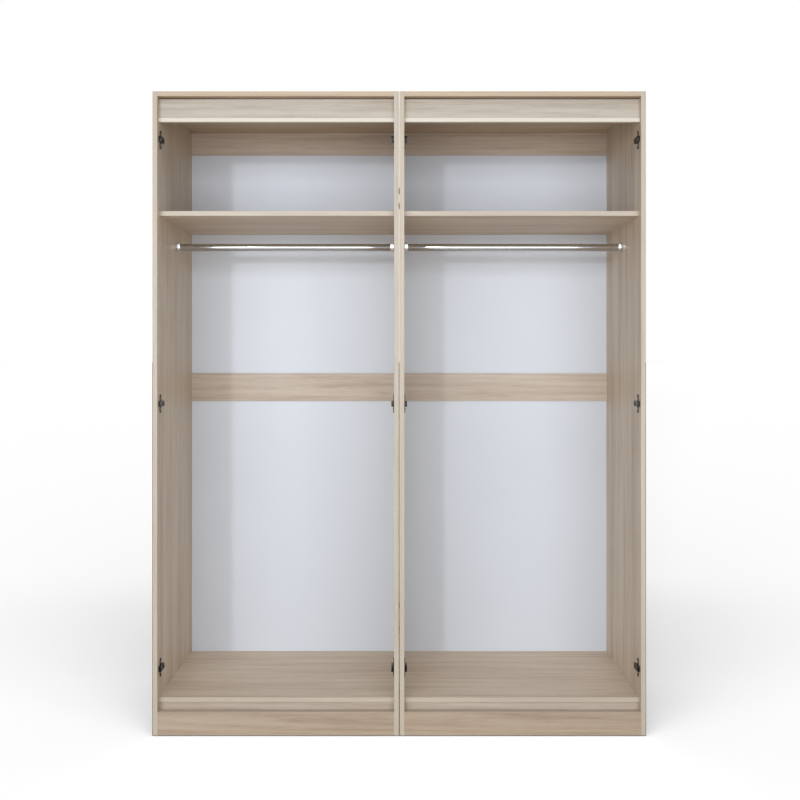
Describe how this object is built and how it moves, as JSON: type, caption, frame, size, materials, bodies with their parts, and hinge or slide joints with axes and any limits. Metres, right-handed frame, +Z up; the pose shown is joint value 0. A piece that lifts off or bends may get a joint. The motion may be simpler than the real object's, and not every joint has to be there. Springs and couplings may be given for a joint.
{
  "type": "double wardrobe carcase",
  "caption": "Tall double wardrobe carcase in pale oak board with white backs, shelves, lift-out chrome hanging rails and door hinge plates, doors off.",
  "frame": {"origin": "on the floor, in the middle of the footprint", "axes": "+X to the right seen from the front, +Y towards the back, +Z up"},
  "size_m": [1.522, 0.53, 1.99],
  "materials": {
    "oak_board": "pale limed oak melamine on chipboard, fine embossed grain, cream edge banding",
    "white_back": "thin hardboard with a matt cool white face",
    "chrome_tube": "bright chromed steel tube",
    "chrome_socket": "chromed die casting",
    "hinge_steel": "nickel plated pressed steel",
    "screw_steel": "zinc plated",
    "beech_dowel": "raw beech",
    "glide_plastic": "matt",
    "pin_steel": "bright drawn wire",
    "bolt_steel": "nickel plated",
    "spacer_plastic": "matt"
  },
  "bodies": {
    "carcase": {"left_side_left": "oak_board", "left_side_right": "oak_board", "left_bottom_panel": "oak_board", "left_shelf": "oak_board", "left_top_panel": "oak_board", "left_base_rail": "oak_board", "left_plinth": "oak_board", "left_fascia": "oak_board", "left_top_back_rail": "oak_board", "left_mid_back_rail": "oak_board", "left_back_panel_lower": "white_back", "left_back_panel_upper": "white_back", "left_rail_socket_left": "chrome_socket", "left_hinge_plate_left_low": "hinge_steel", "left_hinge_plate_left_middle": "hinge_steel", "left_hinge_plate_left_high": "hinge_steel", "left_rail_socket_right": "chrome_socket", "left_hinge_plate_right_low": "hinge_steel", "left_hinge_plate_right_middle": "hinge_steel", "left_hinge_plate_right_high": "hinge_steel", "left_dowels": "beech_dowel", "left_hinge_plate_screws": "screw_steel", "left_rail_socket_screws": "screw_steel", "left_floor_glides": "glide_plastic", "left_back_panel_pins": "pin_steel", "right_side_left": "oak_board", "right_side_right": "oak_board", "right_bottom_panel": "oak_board", "right_shelf": "oak_board", "right_top_panel": "oak_board", "right_base_rail": "oak_board", "right_plinth": "oak_board", "right_fascia": "oak_board", "right_top_back_rail": "oak_board", "right_mid_back_rail": "oak_board", "right_back_panel_lower": "white_back", "right_back_panel_upper": "white_back", "right_rail_socket_left": "chrome_socket", "right_hinge_plate_left_low": "hinge_steel", "right_hinge_plate_left_middle": "hinge_steel", "right_hinge_plate_left_high": "hinge_steel", "right_rail_socket_right": "chrome_socket", "right_hinge_plate_right_low": "hinge_steel", "right_hinge_plate_right_middle": "hinge_steel", "right_hinge_plate_right_high": "hinge_steel", "right_dowels": "beech_dowel", "right_hinge_plate_screws": "screw_steel", "right_rail_socket_screws": "screw_steel", "right_floor_glides": "glide_plastic", "right_back_panel_pins": "pin_steel", "joining_sleeves": "bolt_steel", "joining_bolts": "bolt_steel", "joining_spacers": "spacer_plastic"},
    "left_rail": {"left_hanging_rail": "chrome_tube"},
    "right_rail": {"right_hanging_rail": "chrome_tube"}
  },
  "joints": [
    {"name": "left_rail_lift", "type": "slide", "parent": "carcase", "child": "left_rail", "axis": [0, 0, 1], "range_m": [0, 0.045]},
    {"name": "right_rail_lift", "type": "slide", "parent": "carcase", "child": "right_rail", "axis": [0, 0, 1], "range_m": [0, 0.045]}
  ]
}
